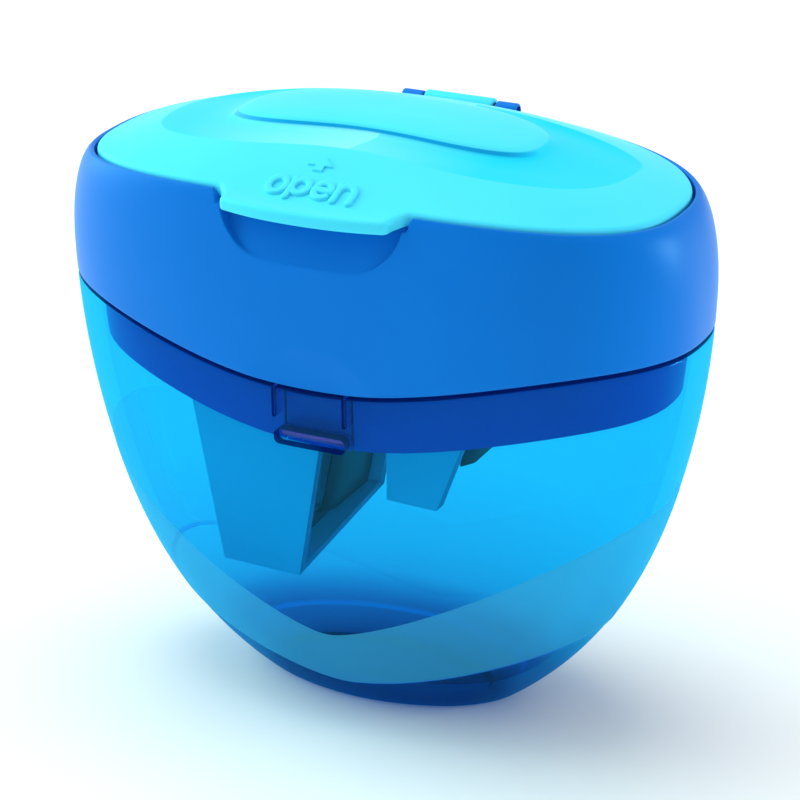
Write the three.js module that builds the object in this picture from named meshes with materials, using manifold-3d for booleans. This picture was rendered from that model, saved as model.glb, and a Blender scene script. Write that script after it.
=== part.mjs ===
// Two-hole canister pencil sharpener: a translucent shavings container, an opaque
// housing that snaps into its mouth, and a hinged lid over two pencil holes.
// Millimetres, +Z up, front towards -Y, origin under the middle of the foot.
import * as THREE from 'three';
import { mergeGeometries, mergeVertices } from 'three/addons/utils/BufferGeometryUtils.js';
import Module from 'manifold-3d';

const wasm = await Module();
wasm.setup();

// ---------------------------------------------------------------- driving dimensions

const BODY_HALF_WIDTH = 32;         // widest section, at WAIST_Z
const BODY_HALF_DEPTH = 17.4;
const WAIST_Z = 44;
const RIM_Z = 54.4;                 // housing rim at the middle of the front
const RIM_SAG = 0.0018;             // the rim falls by RIM_SAG * x * x towards the ends
const SHOULDER_WIDTH = 2.7;         // how far the shoulder turns in at the ends
const SHOULDER_DEPTH = 1.2;         // and at the front and back

const SEAM_Z = 36.2;                // joint line between housing and container, front middle
const SEAM_LIFT = 4.2;              // the joint line rises by this much at the ends
const WALL = 1.8;                   // container and housing walls
const GAP = 0.3;                    // between separate mouldings
const SKIRT_WALL = 1.3;
const SKIRT_BOTTOM_Z = 30.0;
const FLOOR_Z = 2.6;                // inside floor of the container
const FOOT_RECESS = 0.6;
const FOOT_RIM = 2.7;               // outer edge of the recess, in from the body's outline

const LID_HALF_WIDTH = 29.1;
const LID_HALF_DEPTH = 16.0;
const LID_SQUARENESS = 2.5;
const LID_DOME = 3.6;               // the middle of the lid stands this much above its edge
const LID_DOME_POWER = 2.4;
const LID_FLARE_FROM = 0.9;         // fraction of the oval beyond which the dome eases off
const LID_FLARE_EASE = 14;
const TAB_SLOPE = 0.8;              // fall of the tab per unit of the oval's fraction
const LID_THICKNESS = 1.2;
const TAB_HALF_WIDTH = 8.45;
const TAB_CORNER_Y = -18.1;
const TAB_FRONT_Y = -19.4;

const SCOOP_HALF_WIDTH = 9.15;
const SCOOP_BOTTOM_Z = 48.4;
const SCOOP_CORNER = 5.5;
const SCOOP_TILT = THREE.MathUtils.degToRad(30);

const DIMPLE_RADII = [16, 2.4, 11]; // shallow thumb dimple over the latch
const DIMPLE_DEPTH = 0.6;
const DIMPLE_Z = 33.4;

const HINGE_Y = 16.2;
const HINGE_Z = 54.4;
const HINGE_PIN_RADIUS = 0.5;
const HINGE_BORE_RADIUS = 0.62;
const BARREL_RADIUS = 1.25;
const BARREL_HALF_LENGTH = 3.65;
const EAR_RADIUS = 0.95;
const EAR_LENGTH = 2.2;

const DECK_TOP_Z = 45.5;
const DECK_THICKNESS = 2.0;
const COLLAR_RISE = 0.6;

const LATCH_HALF_WIDTH = 3.3;
const LATCH_SLIT = 0.25;
const LATCH_ROOT_Z = 37.2;
const WINDOW_HALF_WIDTH = 3.67;
const WINDOW_BOTTOM_Z = 30.5;
const WINDOW_TOP_Z = 32.0;
const RIM_SLIT = 0.3;               // slits in the container's rim over each window
const RIM_SLIT_X = 3.6;
const RIM_SLIT_BOTTOM_Z = 33.2;
const HOOK_REACH = 1.3;             // how far the hook stands out of the tongue

const CONE_SLOPE = 0.2035;          // radius gained per millimetre up the pencil bore
const BORE_TIP_RADIUS = 0.9;
const BLADE_THICKNESS = 0.8;
const BLADE_BREAKTHROUGH = 0.5;     // how far the blade seat cuts into the bore
const SCREW_HEAD_RADIUS = 2.1;
const SCREW_SHANK_RADIUS = 1.1;
const SCREW_HOLE_RADIUS = 1.35;

const AROUND = 72;                  // facets round the body sections

const LARGE = {
  name: 'large', x: -8.2, holeRadius: 5.8, collarRadius: 7.3, coneBottomZ: 16,
  frontY: -8, backY: 11, frontWall: 1.1, backWall: 1.1, blockBottomZ: 12.4, bottomRise: 2.2, backTaper: 3,
  outline: [[-14.2, 12.7], [-5.9, 12.4], [-0.8, 43.2], [-20.1, 43.2]],
  bladeLength: 24.4, bladeWidth: 9.2, bladeDrop: 0.5, seatBottomZ: 13.2,
};
const SMALL = {
  name: 'small', x: 6.8, holeRadius: 4.1, collarRadius: 5.4, coneBottomZ: 22.8,
  frontY: -5.6, backY: 7.5, frontWall: 1.6, backWall: 0, blockBottomZ: 23.2, bottomRise: 0, backTaper: 0,
  outline: [[2.4, 21.2], [7.65, 21.0], [12.6, 34.5], [12.6, 43.2], [2.4, 43.2]],
  bladeLength: 17.5, bladeWidth: 7, bladeDrop: -0.6, seatBottomZ: 19,
};

// ---------------------------------------------------------------- materials

const plastic = (color, roughness = 0.35, extra = {}) =>
  new THREE.MeshStandardMaterial({ color, roughness, metalness: 0, ...extra });
const MATERIALS = {
  lid: plastic(0x5cecfd, 0.3),
  housing: plastic(0x1580dc, 0.35),
  container: plastic(0x18b8f2, 0.15, { transparent: true, opacity: 0.45 }),
  frame: plastic(0x1a54b8, 0.3),
  sharpener: plastic(0x1c7fbe, 0.35),
  steel: new THREE.MeshStandardMaterial({ color: 0xb9bec4, roughness: 0.25, metalness: 1 }),
};

// ---------------------------------------------------------------- solids and booleans

function solid(geometry) {
  const plain = geometry.clone();
  plain.deleteAttribute('normal');
  plain.deleteAttribute('uv');
  const merged = mergeVertices(plain, 1e-4);
  return new wasm.Manifold(new wasm.Mesh({
    numProp: 3,
    vertProperties: merged.attributes.position.array,
    triVerts: new Uint32Array(merged.index.array),
  }));
}

function geometryOf(manifold) {
  const mesh = manifold.getMesh();
  const geometry = new THREE.BufferGeometry();
  geometry.setAttribute('position', new THREE.BufferAttribute(mesh.vertProperties, 3));
  geometry.setIndex(new THREE.BufferAttribute(mesh.triVerts, 1));
  geometry.computeVertexNormals();
  return geometry;
}

const meshes = new THREE.Group();

function addPart(name, manifold, material) {
  const mesh = new THREE.Mesh(geometryOf(manifold), material);
  mesh.name = name;
  meshes.add(mesh);
}

function box([x0, y0, z0], [x1, y1, z1]) {
  const geometry = new THREE.BoxGeometry(x1 - x0, y1 - y0, z1 - z0);
  geometry.translate((x0 + x1) / 2, (y0 + y1) / 2, (z0 + z1) / 2);
  return solid(geometry);
}

// A turned solid whose profile is a list of [radius, height], standing on +Z.
function turned(profile, facets = 24) {
  const geometry = new THREE.LatheGeometry(profile.map(([r, h]) => new THREE.Vector2(r, h)), facets);
  geometry.rotateX(Math.PI / 2);
  return geometry;
}

const cylinder = (radius, z0, z1, facets = 24) =>
  turned([[0, z0], [radius, z0], [radius, z1], [0, z1]], facets);

// An outline in the X-Z plane pushed from y0 to y1.
function pushedY(shape, y0, y1, curveSegments = 6) {
  const geometry = new THREE.ExtrudeGeometry(shape, { depth: y1 - y0, bevelEnabled: false, curveSegments });
  geometry.rotateX(Math.PI / 2);
  geometry.translate(0, y1, 0);
  return geometry;
}

// An outline in the X-Y plane pushed from z0 to z1.
function pushedZ(shape, z0, z1, curveSegments = 8) {
  const geometry = new THREE.ExtrudeGeometry(shape, { depth: z1 - z0, bevelEnabled: false, curveSegments });
  geometry.translate(0, 0, z0);
  return geometry;
}

// ---------------------------------------------------------------- body sections

const clamp01 = (t) => Math.min(1, Math.max(0, t));

// Half width, half depth and squareness of the outer surface at height z.
function section(z) {
  const below = (WAIST_Z - Math.min(z, WAIST_Z)) / WAIST_Z;
  const above = clamp01((z - WAIST_Z) / (RIM_Z - WAIST_Z));
  const turnIn = 1 - Math.sqrt(1 - 0.98 * above * above);
  return {
    a: BODY_HALF_WIDTH - 12.6 * below ** 2 - 6.0 * below ** 6 - SHOULDER_WIDTH * turnIn,
    b: BODY_HALF_DEPTH - 3.5 * below ** 2 - 6.5 * below ** 6 - SHOULDER_DEPTH * turnIn,
    n: 1.9 + 0.0116 * z,
  };
}

function superellipse(angle, a, b, n) {
  const c = Math.cos(angle);
  const s = Math.sin(angle);
  return [a * Math.sign(c) * Math.abs(c) ** (2 / n), b * Math.sign(s) * Math.abs(s) ** (2 / n)];
}

const seamLift = (x) => SEAM_LIFT * 0.5 * (1 - Math.cos(Math.PI * Math.min(1, Math.abs(x) / BODY_HALF_WIDTH)));
const rimSag = (x) => -RIM_SAG * x * x;

// A point of the body at a nominal height. lift follows the joint line and sag the rim,
// so both lines run as level curves of the same surface; inset moves it inwards.
function bodyPoint(angle, { z, inset = 0, lift = 0, sag = 0, scale = 1 }) {
  let height = z;
  let point = [0, 0];
  for (let pass = 0; pass < 5; pass += 1) {
    const { a, b, n } = section(height - sag * rimSag(point[0]));
    point = superellipse(angle, (a - inset) * scale, (b - inset) * scale, n);
    height = z + lift * seamLift(point[0]) + sag * rimSag(point[0]);
  }
  return [point[0], point[1], height];
}

// A closed body shaped by rings; ring.scale 0 closes it on the axis.
function loft(rings, pointAt = bodyPoint, around = AROUND) {
  const profile = rings.map((ring, i) => new THREE.Vector2(ring.scale === 0 ? 0 : 1, i));
  const geometry = new THREE.LatheGeometry(profile, around);
  const position = geometry.attributes.position;
  for (let i = 0; i <= around; i += 1) {
    const angle = (2 * Math.PI * (i % around)) / around - Math.PI / 2;
    rings.forEach((ring, j) => {
      const [x, y, z] = pointAt(angle, ring);
      position.setXYZ(i * rings.length + j, x, y, z);
    });
  }
  return geometry;
}

// ---------------------------------------------------------------- shavings container

function containerWindow(side) {
  const radius = 0.5;
  const w = WINDOW_HALF_WIDTH;
  const shape = new THREE.Shape();
  shape.moveTo(-w + radius, WINDOW_BOTTOM_Z);
  shape.lineTo(w - radius, WINDOW_BOTTOM_Z);
  shape.absarc(w - radius, WINDOW_BOTTOM_Z + radius, radius, -Math.PI / 2, 0);
  shape.absarc(w - radius, WINDOW_TOP_Z - radius, radius, 0, Math.PI / 2);
  shape.absarc(-w + radius, WINDOW_TOP_Z - radius, radius, Math.PI / 2, Math.PI);
  shape.absarc(-w + radius, WINDOW_BOTTOM_Z + radius, radius, Math.PI, 1.5 * Math.PI);
  const [near, far] = side < 0 ? [-25, -10] : [10, 25];
  return solid(pushedY(shape, near, far, 4));
}

function rimSlits() {
  const slits = [-1, 1].map((side) => {
    const x = side * RIM_SLIT_X;
    return box([x - RIM_SLIT / 2, -25, RIM_SLIT_BOTTOM_Z], [x + RIM_SLIT / 2, 25, SEAM_Z + 2]);
  });
  return slits[0].add(slits[1]);
}

function buildContainer() {
  const rimTop = SEAM_Z - GAP / 2;
  const flank = [
    { z: 6.2 },
    { z: 9.4 },
    { z: 13.2 },
    { z: 17.6 },
    { z: 22.4 },
    { z: 27.2, lift: 0.35 },
    { z: 31.8, lift: 0.7 },
    { z: rimTop, lift: 1 },
  ];
  const foot = [
    { z: FOOT_RECESS, scale: 0 },
    { z: FOOT_RECESS, inset: FOOT_RIM + 0.3 },
    { z: 0, inset: FOOT_RIM },
    { z: 0, inset: 0.6 },
    { z: 0.5, inset: 0.1 },
    { z: 1.6 },
    { z: 3.6 },
  ];
  const insideFloor = [
    { z: 4.2, inset: WALL + 0.2 },
    { z: 3.0, inset: WALL + 0.8 },
    { z: FLOOR_Z, inset: WALL + 2.0 },
    { z: FLOOR_Z, scale: 0 },
  ];
  const inside = flank.map((ring) => ({ ...ring, inset: WALL })).reverse();
  return solid(loft([...foot, ...flank, ...inside, ...insideFloor]))
    .subtract(containerWindow(-1))
    .subtract(containerWindow(1))
    .subtract(rimSlits());
}

// ---------------------------------------------------------------- lid

// Height of the lid's outer surface: a dome that eases off towards the rim and the tab.
function lidTop(x, y) {
  const rho = ((Math.abs(x) / LID_HALF_WIDTH) ** LID_SQUARENESS
    + (Math.abs(y) / LID_HALF_DEPTH) ** LID_SQUARENESS) ** (1 / LID_SQUARENESS);
  const dome = Math.min(rho, LID_FLARE_FROM);
  const beyond = rho - dome;
  const slope = LID_DOME * LID_DOME_POWER * LID_FLARE_FROM ** (LID_DOME_POWER - 1);
  const eased = Math.min(beyond, (slope - TAB_SLOPE) / (2 * LID_FLARE_EASE));
  const fall = slope * eased - LID_FLARE_EASE * eased * eased + TAB_SLOPE * (beyond - eased);
  return RIM_Z + rimSag(x) + LID_DOME * (1 - dome ** LID_DOME_POWER) - fall;
}

function lidSlab() {
  const outwards = [0.17, 0.34, 0.52, 0.7, 0.86, 1.0, 1.14, 1.3];
  const underside = outwards.map((rho) => ({ rho, under: 1 }));
  const topside = outwards.map((rho) => ({ rho, under: 0 })).reverse();
  const rings = [
    { rho: 0, under: 1, scale: 0 },
    ...underside,
    ...topside,
    { rho: 0, under: 0, scale: 0 },
  ];
  return solid(loft(rings, (angle, { rho, under }) => {
    const [x, y] = superellipse(angle, LID_HALF_WIDTH * rho, LID_HALF_DEPTH * rho, LID_SQUARENESS);
    return [x, y, lidTop(x, y) - under * LID_THICKNESS];
  }));
}

// The tab's outline in plan, grown by a margin for the housing's cut-out.
function tabOutline(margin, reach = 0) {
  const w = TAB_HALF_WIDTH + margin;
  const root = LID_HALF_DEPTH - 1.5;
  const shape = new THREE.Shape();
  shape.moveTo(-w - 2.2, -root);
  shape.quadraticCurveTo(-w - 0.3, -root - 1.7, -w, TAB_CORNER_Y + 0.7 - reach);
  shape.quadraticCurveTo(-w, TAB_CORNER_Y - reach, -w + 0.8, TAB_CORNER_Y - 0.15 - reach);
  shape.quadraticCurveTo(0, 2 * TAB_FRONT_Y - TAB_CORNER_Y - reach, w - 0.8, TAB_CORNER_Y - 0.15 - reach);
  shape.quadraticCurveTo(w, TAB_CORNER_Y - reach, w, TAB_CORNER_Y + 0.7 - reach);
  shape.quadraticCurveTo(w + 0.3, -root - 1.7, w + 2.2, -root);
  shape.lineTo(w + 2.2, -root + 4);
  shape.lineTo(-w - 2.2, -root + 4);
  shape.closePath();
  return shape;
}

function hingeRod(radius, x0, x1, facets = 24) {
  const geometry = cylinder(radius, x0, x1, facets);
  geometry.rotateY(Math.PI / 2);
  geometry.translate(0, HINGE_Y, HINGE_Z);
  return solid(geometry);
}

function buildLid() {
  const plan = loft([
    { z: 40, scale: 0 }, { z: 40 }, { z: 70 }, { z: 70, scale: 0 },
  ], (angle, { z, scale = 1 }) => {
    const [x, y] = superellipse(angle, LID_HALF_WIDTH * scale, LID_HALF_DEPTH * scale, LID_SQUARENESS);
    return [x, y, z];
  });
  const cutter = solid(plan).add(solid(pushedZ(tabOutline(0), 40, 70)));
  const earSpace = (side) => {
    const x0 = side * (BARREL_HALF_LENGTH + 0.05);
    const x1 = side * (BARREL_HALF_LENGTH + EAR_LENGTH + 2 * GAP);
    const low = [Math.min(x0, x1), HINGE_Y - EAR_RADIUS - GAP, 50];
    return box(low, [Math.max(x0, x1), 20, 58]);
  };
  const neck = box([-BARREL_HALF_LENGTH, HINGE_Y - 3.2, HINGE_Z - 1.1],
    [BARREL_HALF_LENGTH, HINGE_Y - 0.2, HINGE_Z + 0.35]);
  return lidSlab()
    .intersect(cutter)
    .subtract(earSpace(-1))
    .subtract(earSpace(1))
    .add(neck)
    .add(hingeRod(BARREL_RADIUS, -BARREL_HALF_LENGTH, BARREL_HALF_LENGTH))
    .subtract(hingeRod(HINGE_BORE_RADIUS, -10, 10));
}

// ---------------------------------------------------------------- housing

function scoopCutter() {
  const w = SCOOP_HALF_WIDTH;
  const r = SCOOP_CORNER;
  const shape = new THREE.Shape();
  shape.moveTo(-w, 12);
  shape.lineTo(-w, r);
  shape.absarc(-w + r, r, r, Math.PI, 1.5 * Math.PI);
  shape.lineTo(w - r, 0);
  shape.absarc(w - r, r, r, 1.5 * Math.PI, 2 * Math.PI);
  shape.lineTo(w, 12);
  shape.closePath();
  const geometry = pushedY(shape, -12, 0, 6);
  geometry.rotateX(-SCOOP_TILT);
  geometry.translate(0, -section(SCOOP_BOTTOM_Z).b + 0.05, SCOOP_BOTTOM_Z);
  return solid(geometry);
}

function buildHousing() {
  const seam = SEAM_Z + GAP / 2;
  const ledgeZ = RIM_Z - LID_THICKNESS - GAP;
  const lidGap = GAP;
  const lipPoint = (angle, ring) => {
    if (!ring.lip) return bodyPoint(angle, ring);
    const a = LID_HALF_WIDTH + lidGap - ring.step;
    const b = LID_HALF_DEPTH + lidGap - ring.step;
    const [x, y] = superellipse(angle, a, b, LID_SQUARENESS);
    return [x, y, ring.z + rimSag(x)];
  };
  const rings = [
    { z: seam, lift: 1, inset: WALL },
    { z: seam, lift: 1 },
    { z: 40.4, lift: 0.45 },
    { z: WAIST_Z },
    { z: 47.6, sag: 0.35 },
    { z: 50.4, sag: 0.65 },
    { z: 52.4, sag: 0.85 },
    { z: 53.7, sag: 1 },
    { z: RIM_Z - 0.1, sag: 1 },
    { z: RIM_Z, lip: true, step: 0 },
    { z: ledgeZ, lip: true, step: 0 },
    { z: ledgeZ, lip: true, step: 1.5 },
    { z: ledgeZ - 1.3, lip: true, step: 1.5 },
    { z: 48.6, sag: 0.5, inset: WALL },
    { z: WAIST_Z, inset: WALL },
    { z: 40.4, lift: 0.45, inset: WALL },
    { z: seam, lift: 1, inset: WALL },
  ];
  const shell = solid(loft(rings, lipPoint));
  const envelope = solid(loft([
    { z: 46.9, scale: 0 }, { z: 46.9, inset: 0.5 }, { z: 50.4, inset: 0.5, sag: 0.65 },
    { z: ledgeZ, inset: 0.5, sag: 1 }, { z: ledgeZ, scale: 0 },
  ]));
  const frontBoss = envelope.intersect(box([-12, -20, 46.9], [12, -12.4, ledgeZ]));
  const hingeReach = BARREL_HALF_LENGTH + GAP + EAR_LENGTH;
  const ear = (side) => {
    const inner = side * (BARREL_HALF_LENGTH + GAP);
    const outer = side * hingeReach;
    const [x0, x1] = [Math.min(inner, outer), Math.max(inner, outer)];
    return hingeRod(EAR_RADIUS, x0, x1)
      .add(box([x0, HINGE_Y - EAR_RADIUS, ledgeZ - 1], [x1, HINGE_Y + 0.25, HINGE_Z]));
  };
  const barrelSpace = box([-BARREL_HALF_LENGTH - GAP, HINGE_Y - 4, ledgeZ], [BARREL_HALF_LENGTH + GAP, 22, 60]);
  const tabSpace = solid(pushedZ(tabOutline(SCOOP_HALF_WIDTH - TAB_HALF_WIDTH, 4), ledgeZ - 0.05, 60));
  const dimple = new THREE.SphereGeometry(1, 32, 16);
  dimple.scale(...DIMPLE_RADII);
  dimple.translate(0, -BODY_HALF_DEPTH - DIMPLE_RADII[1] + DIMPLE_DEPTH, DIMPLE_Z);
  return shell
    .add(frontBoss)
    .subtract(barrelSpace)
    .add(ear(-1))
    .add(ear(1))
    .subtract(scoopCutter())
    .subtract(tabSpace)
    .subtract(solid(dimple))
    .subtract(hingeRod(HINGE_BORE_RADIUS, -hingeReach + 0.3, hingeReach - 0.3));
}

// ---------------------------------------------------------------- skirt, deck and latches

const skirtInset = WALL + GAP;

function frameShell() {
  const outer = skirtInset;
  const inner = skirtInset + SKIRT_WALL;
  const underside = DECK_TOP_Z - DECK_THICKNESS;
  return solid(loft([
    { z: SKIRT_BOTTOM_Z, lift: 1, inset: inner },
    { z: SKIRT_BOTTOM_Z, lift: 1, inset: outer },
    { z: SEAM_Z, lift: 1, inset: outer },
    { z: 40.4, lift: 0.45, inset: outer },
    { z: DECK_TOP_Z, inset: outer },
    { z: DECK_TOP_Z, scale: 0 },
    { z: underside, scale: 0 },
    { z: underside, inset: inner },
    { z: 40.4, lift: 0.45, inset: inner },
    { z: SEAM_Z, lift: 1, inset: inner },
    { z: SKIRT_BOTTOM_Z, lift: 1, inset: inner },
  ]));
}

function buildFrame(shell) {
  let frame = shell;
  const slot = LATCH_HALF_WIDTH + LATCH_SLIT;
  frame = frame.subtract(box([-slot, -25, 25], [slot, -8, LATCH_ROOT_Z + LATCH_SLIT]));
  frame = frame.subtract(box([-slot, 8, 25], [slot, 25, LATCH_ROOT_Z + LATCH_SLIT]));
  for (const unit of [LARGE, SMALL]) {
    const hole = cylinder(unit.collarRadius + GAP, 40, 50, 36);
    hole.translate(unit.x, 0, 0);
    frame = frame.subtract(solid(hole));
  }
  return frame;
}

function buildLatch(shell, side) {
  const w = LATCH_HALF_WIDTH;
  const [near, far] = side < 0 ? [-25, -8] : [8, 25];
  const tongue = shell.intersect(box([-w, near, 25], [w, far, LATCH_ROOT_Z]));
  const face = section(31.2).b - skirtInset;
  const shape = new THREE.Shape();
  shape.moveTo(-face + 0.6, 30.9);
  shape.lineTo(-face - HOOK_REACH + 0.5, 30.9);
  shape.lineTo(-face - HOOK_REACH, 31.3);
  shape.lineTo(-face - HOOK_REACH, 31.7);
  shape.lineTo(-face + 0.6, 31.7);
  shape.closePath();
  const hook = new THREE.ExtrudeGeometry(shape, { depth: 2 * w - 0.2, bevelEnabled: false });
  hook.applyMatrix4(new THREE.Matrix4().makeBasis(
    new THREE.Vector3(0, 1, 0), new THREE.Vector3(0, 0, 1), new THREE.Vector3(1, 0, 0),
  ));
  hook.translate(-w + 0.1, 0, 0);
  if (side > 0) hook.rotateZ(Math.PI);
  return tongue.add(solid(hook));
}

// ---------------------------------------------------------------- sharpener units

// The blade seat is tilted so that it runs along the side of the conical bore.
const SEAT_TILT = Math.atan(CONE_SLOPE);
const boreRadiusAt = (unit, z) => BORE_TIP_RADIUS + CONE_SLOPE * (z - unit.coneBottomZ);
const seatXAt = (unit, z) => unit.x + boreRadiusAt(unit, z) - BLADE_BREAKTHROUGH;

const seatMiddleZ = (unit) => unit.coneBottomZ + unit.bladeLength / 2 - unit.bladeDrop;
const screwY = (unit) => unit.bladeWidth * 0.55;

// Moves geometry drawn on the seat (outwards +X, along the blade +Z) to its place.
function onSeat(unit, geometry) {
  const middleZ = seatMiddleZ(unit);
  geometry.rotateY(SEAT_TILT);
  geometry.translate(seatXAt(unit, middleZ), 0, middleZ);
  return geometry;
}

function pencilBore(unit) {
  const coneTop = unit.coneBottomZ + (unit.holeRadius - BORE_TIP_RADIUS) / CONE_SLOPE;
  const bore = turned([
    [0, unit.coneBottomZ], [BORE_TIP_RADIUS, unit.coneBottomZ],
    [unit.holeRadius, coneTop], [unit.holeRadius, DECK_TOP_Z - 0.4],
    [unit.holeRadius + 1.2, DECK_TOP_Z + COLLAR_RISE + 0.4],
    [unit.holeRadius + 1.2, 50], [0, 50],
  ], 36);
  bore.translate(unit.x, 0, 0);
  return solid(bore);
}

// Lifts the lower edges towards the back and draws the left side in, to clear the container.
function raiseTowardsBack(unit, geometry) {
  const position = geometry.attributes.position;
  for (let i = 0; i < position.count; i += 1) {
    const back = (position.getY(i) - unit.frontY) / (unit.backY - unit.frontY);
    if (position.getZ(i) < 25) position.setZ(i, position.getZ(i) + unit.bottomRise * back);
    if (position.getX(i) < unit.x - 4) position.setX(i, position.getX(i) + unit.backTaper * back);
  }
  return geometry;
}

function buildSharpener(unit) {
  const shape = new THREE.Shape(unit.outline.map(([x, z]) => new THREE.Vector2(x, z)));
  const front = raiseTowardsBack(unit, pushedY(shape, unit.frontY, unit.backY));
  const innerFront = unit.frontY + unit.frontWall;
  const innerBack = unit.backWall ? unit.backY - unit.backWall : unit.backY + 1;
  const topPlateZ = DECK_TOP_Z - DECK_THICKNESS - GAP - 1.5;
  const recess = new THREE.BoxGeometry(20, innerBack - innerFront, 60);
  recess.translate(10, (innerFront + innerBack) / 2, 0);
  const cavity = new THREE.BoxGeometry(80, unit.backY - unit.frontY, topPlateZ - unit.seatBottomZ);
  cavity.translate(40 + unit.x - 10, (unit.frontY + unit.backY) / 2, (topPlateZ + unit.seatBottomZ) / 2);
  const seatCut = solid(onSeat(unit, recess))
    .intersect(solid(raiseTowardsBack(unit, cavity)));
  const collar = cylinder(unit.collarRadius, topPlateZ, DECK_TOP_Z + COLLAR_RISE, 36);
  collar.translate(unit.x, 0, 0);
  const screwHole = cylinder(SCREW_HOLE_RADIUS, -4.5, 2, 20);
  screwHole.rotateY(Math.PI / 2);
  screwHole.translate(0, screwY(unit), 0);
  let body = solid(front);
  if (unit.blockBottomZ > unit.outline[0][1]) {
    body = body.subtract(box([-40, innerFront, 0], [40, 20, unit.blockBottomZ]));
  }
  return body
    .subtract(seatCut)
    .add(solid(collar))
    .subtract(pencilBore(unit))
    .subtract(solid(onSeat(unit, screwHole)));
}

function buildBlade(unit) {
  const t = BLADE_THICKNESS;
  const shape = new THREE.Shape();
  shape.moveTo(GAP, -0.2);
  shape.lineTo(GAP + 0.1, -0.2);
  shape.lineTo(GAP + t, 1.5);
  shape.lineTo(GAP + t, unit.bladeWidth - 0.2);
  shape.lineTo(GAP, unit.bladeWidth - 0.2);
  shape.closePath();
  const blade = pushedZ(shape, -unit.bladeLength / 2, unit.bladeLength / 2);
  const hole = cylinder(SCREW_HOLE_RADIUS + 0.1, -1, 3, 20);
  hole.rotateY(Math.PI / 2);
  hole.translate(0, screwY(unit), 0);
  return solid(onSeat(unit, blade)).subtract(solid(onSeat(unit, hole)));
}

function buildScrew(unit) {
  const seat = GAP + BLADE_THICKNESS + 0.15;
  const screw = turned([
    [0, -3.6], [0.5, -3.6], [SCREW_SHANK_RADIUS, -2.8], [SCREW_SHANK_RADIUS, seat],
    [SCREW_HEAD_RADIUS, seat], [SCREW_HEAD_RADIUS, seat + 0.7], [SCREW_HEAD_RADIUS - 0.5, seat + 1.1],
    [0, seat + 1.3],
  ], 24);
  screw.rotateY(Math.PI / 2);
  screw.translate(0, screwY(unit), 0);
  const slot = new THREE.BoxGeometry(1.2, 6, 0.6);
  slot.rotateX(Math.PI / 5);
  slot.translate(seat + 1.3, screwY(unit), 0);
  return solid(onSeat(unit, screw)).subtract(solid(onSeat(unit, slot)));
}

// ---------------------------------------------------------------- assembly

addPart('shavings_container', buildContainer(), MATERIALS.container);
addPart('housing_shell', buildHousing(), MATERIALS.housing);
const shell = frameShell();
addPart('inner_frame', buildFrame(shell), MATERIALS.frame);
addPart('front_latch', buildLatch(shell, -1), MATERIALS.frame);
addPart('rear_latch', buildLatch(shell, 1), MATERIALS.frame);
for (const unit of [LARGE, SMALL]) {
  addPart(`${unit.name}_sharpener_body`, buildSharpener(unit), MATERIALS.sharpener);
  addPart(`${unit.name}_blade`, buildBlade(unit), MATERIALS.steel);
  addPart(`${unit.name}_blade_screw`, buildScrew(unit), MATERIALS.steel);
}
addPart('lid', buildLid(), MATERIALS.lid);
addPart('hinge_pin', hingeRod(HINGE_PIN_RADIUS, -BARREL_HALF_LENGTH - EAR_LENGTH + 0.3,
  BARREL_HALF_LENGTH + EAR_LENGTH - 0.3), MATERIALS.steel);

// The origin is under the middle of the whole object's outline.
const extent = new THREE.Box3().setFromObject(meshes);
meshes.position.y = -(extent.min.y + extent.max.y) / 2;
meshes.updateMatrixWorld(true);

export default meshes;
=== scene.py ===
"""Looks for the two-hole canister pencil sharpener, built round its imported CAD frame."""
import math

import bmesh
import bpy
import numpy as np
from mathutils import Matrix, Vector


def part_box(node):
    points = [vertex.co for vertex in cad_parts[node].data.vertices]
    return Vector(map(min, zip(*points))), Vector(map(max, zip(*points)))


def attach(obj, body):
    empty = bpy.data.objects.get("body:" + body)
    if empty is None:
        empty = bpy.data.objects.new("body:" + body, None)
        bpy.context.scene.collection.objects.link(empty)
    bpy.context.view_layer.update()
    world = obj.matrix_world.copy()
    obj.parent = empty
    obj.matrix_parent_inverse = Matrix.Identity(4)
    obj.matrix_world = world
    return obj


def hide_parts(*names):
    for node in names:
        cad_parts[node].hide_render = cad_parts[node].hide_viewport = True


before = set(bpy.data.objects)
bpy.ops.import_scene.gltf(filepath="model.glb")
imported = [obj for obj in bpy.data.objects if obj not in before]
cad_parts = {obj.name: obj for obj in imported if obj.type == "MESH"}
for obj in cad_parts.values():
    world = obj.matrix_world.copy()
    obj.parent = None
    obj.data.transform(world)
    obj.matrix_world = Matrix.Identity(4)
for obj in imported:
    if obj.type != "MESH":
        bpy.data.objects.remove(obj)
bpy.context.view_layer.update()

MM = 0.001

# ------------------------------------------------------------------ sizes
# Millimetres, in the body's own frame: origin under the middle of the container.
# BODY_Y and the hinge's axis come from the frame. The other sizes are chosen to match the CAD
# part, or stand a little inside it.
container_low, container_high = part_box("shavings_container")
pin_low, pin_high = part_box("hinge_pin")
BODY_Y = (container_low.y + container_high.y) / 2 / MM

BODY_HALF_WIDTH = 32.0
BODY_HALF_DEPTH = 17.4
WAIST_Z = 44.0
RIM_Z = 54.4
RIM_SAG = 0.0018
SHOULDER_WIDTH = 2.7
SHOULDER_DEPTH = 1.2
SEAM_Z = 36.2
SEAM_LIFT = 4.2
WALL = 1.8
GAP = 0.3
FLOOR_Z = 2.6
FOOT_RECESS = 0.6
FOOT_RIM = 2.7
LID_HALF_WIDTH = 29.1
LID_HALF_DEPTH = 16.0
LID_SQUARENESS = 2.5
LID_DOME = 3.6
LID_DOME_POWER = 2.4
LID_FLARE_FROM = 0.9
LID_FLARE_EASE = 14
TAB_SLOPE = 0.8
LID_THICKNESS = 1.2
LEDGE_Z = RIM_Z - LID_THICKNESS - GAP
TAB_HALF_WIDTH = 8.45
TAB_CORNER_Y = -18.1
TAB_FRONT_Y = -19.4
TAB_GAP = 0.6
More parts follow.
